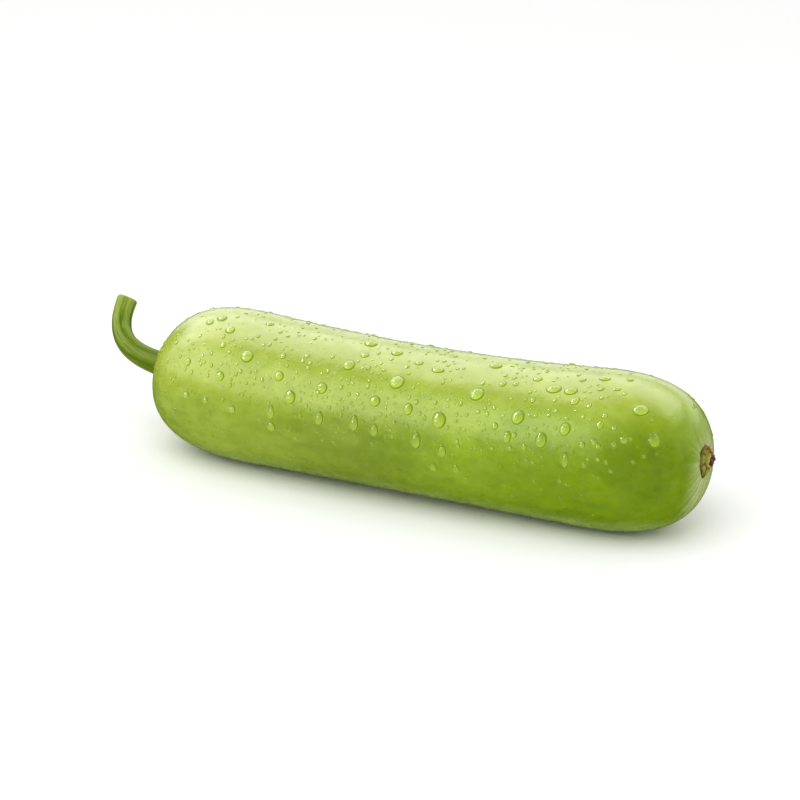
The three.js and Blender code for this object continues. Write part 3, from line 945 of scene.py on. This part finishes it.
# Places spread over the skin, fewer low down, along the ridge and at both ends, with none that the
# photograph would show if hidden is set. A share of them may gather round the first few, at normally spread
# distances.
def scatter(random, count, hidden, clumped):
    tries = count * water["tries"]
    table = np.linspace(*water["ends"], 400)
    weight = np.cumsum(fruitRadius(table))
    share = np.interp(random.random(tries) * weight[-1], weight, table)
    turn = random.random(tries) * 2 * math.pi
    if clumped:
        leader = random.integers(0, tries // water["clumpPlaces"], tries)
        follows = random.random(tries) < clumped
        aside, ahead = random.normal(0, water["clumpSize"], (2, tries))
        near = np.clip(share[leader] + ahead / fruit["length"], *water["ends"])
        share = np.where(follows, near, share)
        turn = np.where(follows, turn[leader] + aside / fruit["waistRadius"], turn)
    points = skinAt(share, turn)
    normal = skinFrame(share, turn)[2]
    rise = normal[:, 2]
    onFlank = eased(rise, *water["flank"]) * (1 - water["ridgeFewer"] * eased(rise, *water["ridge"]))
    likely = water["underside"] + (1 - water["underside"]) * onFlank
    likely = likely * (1 - water["blossomFewer"] * eased(share, *water["blossomEnd"]))
    likely = likely * (water["stemLeast"] + (1 - water["stemLeast"]) * eased(share, *water["stemEnd"]))
    keep = (points[:, 2] > water["lowest"]) & (random.random(tries) < likely)
    if hidden:
        facing = np.einsum("ij,ij->i", normal, unit(eye - points))
        keep &= facing < water["hiddenFacing"]
    kept = np.flatnonzero(keep)[:count]
    return share[kept], turn[kept]


# leaves out each place that crowds an earlier one: taken places come first
def uncrowded(share, turn, width, takenShare, takenTurn, takenWidth):
    points, taken = skinAt(share, turn), skinAt(takenShare, takenTurn)
    gap = np.linalg.norm(points[:, None] - taken[None], axis=-1)
    free = (gap > water["clearance"] * (width[:, None] + takenWidth[None]) / 2).all(1)
    gap = np.linalg.norm(points[:, None] - points[None], axis=-1)
    crowded = gap < water["clearance"] * (width[:, None] + width[None]) / 2
    free &= ~np.tril(crowded, -1).any(1)
    return share[free], turn[free], width[free]


# a drop's directions: out of the skin, downhill and sideways
def dropFrame(share, turn):
    alongWay, _, normal = skinFrame(share, turn)
    down = np.array([0.0, 0.0, -1.0]) + normal * normal[:, 2:3]
    flatTop = np.linalg.norm(down, axis=1, keepdims=True) < 1e-3
    down = unit(np.where(flatTop, alongWay, down))
    return normal, down, np.cross(normal, down)


# A drop is a cap of a sphere over an oval foot: it leans downhill, and a long one narrows uphill.
# Its foot follows the skin, and it closes just under it.
def dropForms(share, turn, width, length, edge, rings, ringPoints):
    alongWay, roundWay, _ = skinFrame(share, turn)
    normal, down, aside = dropFrame(share, turn)
    steep = np.sqrt(np.clip(1 - normal[:, 2] ** 2, 0, 1))
    inner = np.sin(np.linspace(edge, 0, rings - 4) * math.pi / 2)
    out = np.concatenate([[0, 1, 1, (1 + inner[0]) / 2], inner])
    angle = turnsRound(ringPoints)
    pear = water["pearNarrow"] * np.clip(length / width - 1, 0, water["pearMost"])[:, None, None]
    downhill = out[:, None] * np.cos(angle)[None]
    sideways = out[:, None] * np.sin(angle)[None]
    sideways = sideways[None] * (1 - pear * (0.5 - downhill[None] / 2))
    half = np.minimum(width, length)[:, None] / 2
    tall = half * water["height"]
    bend = (half**2 + tall**2) / (2 * tall)
    cap = np.sqrt(np.maximum(bend**2 - (half * out[None]) ** 2, 0)) - (bend - tall)
    cap[:, 0] = -2 * water["sunk"]
    cap[:, 1] = -water["sunk"]
    lean = (water["sag"] * steep)[:, None, None] * np.maximum(cap, 0)[..., None]
    goDown = downhill[None] * (length / 2)[:, None, None] + lean
    goAside = sideways * (width / 2)[:, None, None]
    offset = goDown[..., None] * down[:, None, None] + goAside[..., None] * aside[:, None, None]
    alongSize = np.einsum("ij,ij->i", alongWay, alongWay)[:, None, None]
    roundSize = np.einsum("ij,ij->i", roundWay, roundWay)[:, None, None]
    moveShare = np.einsum("nrpk,nk->nrp", offset, alongWay) / alongSize
    moveTurn = np.einsum("nrpk,nk->nrp", offset, roundWay) / roundSize
    footShare = np.clip(share[:, None, None] + moveShare, 0.001, 0.999)
    foot = skinAt(footShare, turn[:, None, None] + moveTurn)
    return foot + cap[:, :, None, None] * normal[:, None, None]


# What the drops do to the skin's points: covered by water, lit through it, and shaded just below it.
# A drop gathers light in its downhill half, and its oval is measured in half widths and half lengths.
def wetSkin(points, share, turn, width, length):
    normal, down, aside = dropFrame(share, turn)
    centre = skinAt(share, turn)
    flat = points.reshape(-1, 3)
    wet = np.zeros_like(flat)
    for drop in range(len(share)):
        apart = flat - centre[drop]
        near = np.flatnonzero((apart**2).sum(-1) < (width[drop] + length[drop]) ** 2 / 2)
        downhill = apart[near] @ down[drop] / (length[drop] / 2)
        sideways = apart[near] @ aside[drop] / (width[drop] / 2)
        out = np.hypot(downhill, sideways)
        under = 1 - eased(out, *water["wetEdge"])
        shade = 1 - eased(np.abs(out - water["shadeAt"]), 0.0, water["shadeWidth"])
        shade = shade * eased(downhill, *water["shadeDownhill"])
        lit = under * eased(downhill, *water["litDownhill"])
        wet[near] = np.maximum(wet[near], np.stack([under, lit, shade], -1))
    return wet.reshape(points.shape)


def addDrops(name, places, materials):
    piece = addForms(name, dropForms(*places, *water["forms"][name]), materials, second=slice(0, 3))
    piece.visible_shadow = False  # lamps and bounced light reach the skin straight through the water
    piece.visible_diffuse = False
    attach(piece, "root")


# share, turn, width and length of the seen drops, then of more where there is room
def spread(random, seen, count, widths, stretch, taken, hidden=True, sizePower=1.0, clumped=0.0):
    share, turn = scatter(random, count * 2, hidden, clumped)
    low, high = widths
    width = (low + (high - low) * random.random(len(share)) ** sizePower) * mm
    crowd = np.concatenate([np.stack(seen[:3]), taken], axis=1)
    share, turn, width = (part[:count] for part in uncrowded(share, turn, width, *crowd))
    length = width * random.uniform(*stretch, len(width))
    return [np.concatenate(both) for both in zip(seen, (share, turn, width, length))]


def placeWater():
    random = np.random.default_rng(water["seed"])
    drops, droplets = np.array(seenDrops, float), np.array(seenDroplets, float)
    drops[:, 2] *= water["wholeWidth"] * mm
    drops[:, 3] *= water["wholeLength"] * mm
    droplets[:, 2] *= water["wholeWidth"] * mm
    seen = [*skinAtPixels(drops[:, :2]), drops[:, 2], drops[:, 3]]
    taken = np.zeros((3, 0))
    large = spread(random, seen, water["unseenDrops"], water["dropWidth"], water["dropStretch"], taken)
    seen = [*skinAtPixels(droplets[:, :2]), droplets[:, 2], droplets[:, 2] * water["dropletLength"]]
    taken, stretch = np.stack(large[:3]), water["dropletStretch"]
    small = spread(random, seen, water["unseenDroplets"], water["dropletWidth"], stretch, taken)
    taken = np.concatenate([taken, np.stack(small[:3])], axis=1)
    none, power = [np.zeros(0)] * 4, water["sprayPower"]
    widths, clumped = water["sprayWidth"], water["clumped"]
    fine = spread(random, none, water["spray"], widths, stretch, taken, False, power, clumped)
    return large, small, fine


def addWater():
    clear = waterMaterial("clear_water", water["clear"], 1.0, water["clearGloss"])
    # the drops' edges take painted shade, a dark green tint
    edge = waterMaterial("water_painted_dark_edge", water["edge"], water["edgeClear"], water["edgeGloss"])
    finePaintedDarkEdge = waterMaterial("spray_painted_dark_edge", water["finePaintedDarkEdge"], water["edgeClear"], water["edgeGloss"])
    addDrops("large_drops", largeDrops, [clear, edge])
    addDrops("small_drops", smallDrops, [clear, edge])
    addDrops("fine_spray", fineSpray, [clear, finePaintedDarkEdge])


largeDrops, smallDrops, fineSpray = placeWater()
skinGrid = skinAt(ringShare[:, None], ringTurn[None])
wetPlaces = [np.concatenate(both) for both in zip(largeDrops, smallDrops)]
addSkin(skinGrid, wetSkin(skinGrid, *wetPlaces))
addWater()


# Studio: a pale floor that fades out at its edge, and a white backdrop that gives the even light.
# The key panel models the form without showing in the gloss, the others show only there.
studio = {
    "floorRadius": 2.8,
    "floorPoints": 96,
    "floor": {"Base Color": (0.94, 0.94, 0.935, 1), "Roughness": 1.0, "Specular IOR Level": 0.0},
    "fadeFrom": 0.7,
    "surround": 0.95,  # how much light the backdrop itself gives
    "keyPanels": {  # centre, aim, width, depth, brightness
        "key": ((-0.08, -0.68, 1.22), (0.0, 0.0, 0.03), 1.6, 1.2, 1.45),
    },
    "glossPanels": {
        "overhead": ((-1.33, 0.850, 1.15), (-1.33, 0.850, 0.0), 2.54, 1.82, 4.6),
        "shoulder": ((0.52, 1.05, 1.15), (0.52, 1.05, 0.0), 1.16, 1.40, 4.6),
        "shoulderEnd": ((1.40, 1.05, 1.15), (1.40, 1.05, 0.0), 0.60, 1.40, 2.0),
        "behind": ((-0.30, 1.90, 0.50), (0.0, 0.0, 0.1), 4.0, 0.9, 2.0),
        "right": ((1.50, 0.90, 0.40), (0.15, 0.0, 0.05), 1.4, 0.8, 0.5),
        "front": ((-0.95, -1.20, 0.95), (-0.10, 0.0, 0.05), 1.9, 1.35, 3.2),
        "left": ((-1.90, -0.30, 0.80), (-0.15, 0.0, 0.05), 1.5, 1.3, 2.0),
    },
    "waterPanels": {  # shine on the water alone
        "glint": ((-1.07, -0.14, 1.10), (0.0, 0.0, 0.04), 0.80, 0.60, 20.0),
        "lowGlint": ((-1.06, -0.93, 0.46), (0.0, 0.0, 0.04), 0.46, 0.34, 16.0),
    },
    "wetPieces": {
        "glint": ("large_drops", "small_drops", "fine_spray"),
        "lowGlint": ("large_drops", "small_drops"),
    },
}


def addFloor():
    turn = turnsRound(studio["floorPoints"])
    rim = studio["floorRadius"] * np.stack([np.cos(turn), np.sin(turn), 0 * turn], -1)
    mesh = bpy.data.meshes.new("floor")
    mesh.from_pydata(rim.tolist(), [], [list(range(len(rim)))])
    floor = addObject("floor", mesh)
    material, tree, shader = startMaterial("pale_floor")
    far = lengthOf(tree, objectPlace(tree))
    tree.links.new(remap(tree, far, studio["fadeFrom"], studio["floorRadius"], 1, 0), shader.inputs["Alpha"])
    setSockets(shader, studio["floor"])
    mesh.materials.append(material)
    floor.visible_glossy = False


def addPanel(name, plan, inGloss):
    centre, target, width, depth, brightness = plan
    data = bpy.data.lights.new(name, "AREA")
    data.shape = "RECTANGLE"
    data.size, data.size_y = width, depth
    data.energy = brightness * math.pi * width * depth
    panel = addObject(name, data)
    away = unit(np.array(centre) - np.array(target))
    right = unit(np.cross((0, 1, 0) if abs(away[2]) > 0.95 else (0, 0, 1), away))
    stand(panel, right, away, centre)
    panel.visible_glossy = inGloss
    panel.visible_diffuse = panel.visible_transmission = not inGloss
    return panel


def addWaterPanels():
    for name, plan in studio["waterPanels"].items():
        wetPieces = bpy.data.collections.new(name)
        for piece in studio["wetPieces"][name]:
            wetPieces.objects.link(bpy.data.objects[piece])
        addPanel(name, plan, True).light_linking.receiver_collection = wetPieces


def addBackdrop():
    world = bpy.data.worlds.new("white_backdrop")
    world.use_nodes = True
    bpy.context.scene.world = world
    tree = world.node_tree
    shown = addNode(tree, "ShaderNodeLightPath").outputs["Is Camera Ray"]
    strength = remap(tree, shown, 0.0, 1.0, studio["surround"], 1.0)
    tree.nodes["Background"].inputs["Color"].default_value = (1, 1, 1, 1)
    tree.links.new(strength, tree.nodes["Background"].inputs["Strength"])
    world.cycles_visibility.glossy = False


addFloor()
for panelName, panelPlan in studio["keyPanels"].items():
    addPanel(panelName, panelPlan, False)
for panelName, panelPlan in studio["glossPanels"].items():
    addPanel(panelName, panelPlan, True)
addWaterPanels()
addBackdrop()
bpy.context.scene.view_settings.view_transform = "Standard"
print("studio lit")
